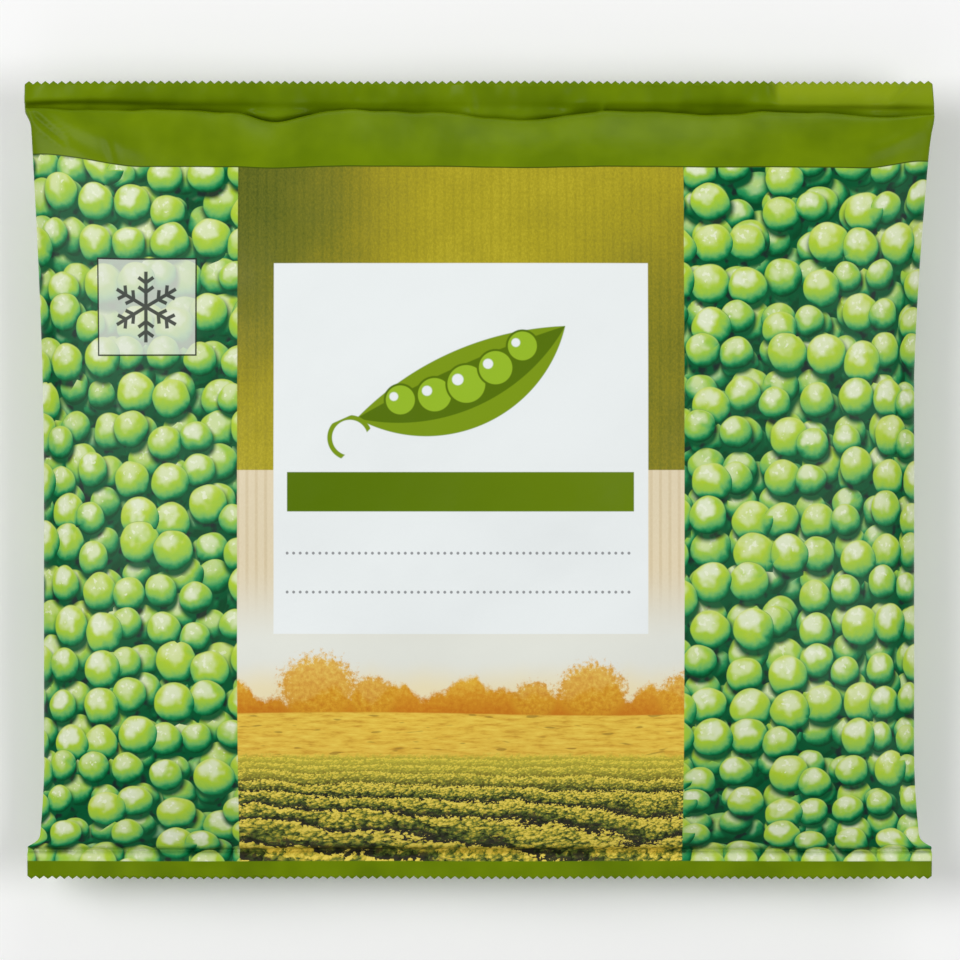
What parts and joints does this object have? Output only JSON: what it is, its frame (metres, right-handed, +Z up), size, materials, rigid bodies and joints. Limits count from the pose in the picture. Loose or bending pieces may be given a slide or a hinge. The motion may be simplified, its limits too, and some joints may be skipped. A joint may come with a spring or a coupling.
{
  "type": "frozen vegetable bag",
  "caption": "Filled film pillow pack of frozen peas lying on its back, with a flat saw-toothed seal across each end and a lengthwise lap seal on the back.",
  "frame": {"origin": "middle of the bag's outline, on the surface that it lies on", "axes": "+X across the bag, to the right as its front is read; +Y up the front, towards the upper seal; +Z up, out of the front face"},
  "size_m": [0.21, 0.184, 0.0363],
  "materials": {
    "printed_film": "satin printed film, mid green bands at both ends, pea print at both sides and a pale centre panel"
  },
  "bodies": {
    "root": {"pea_bag": "printed_film"}
  },
  "joints": []
}
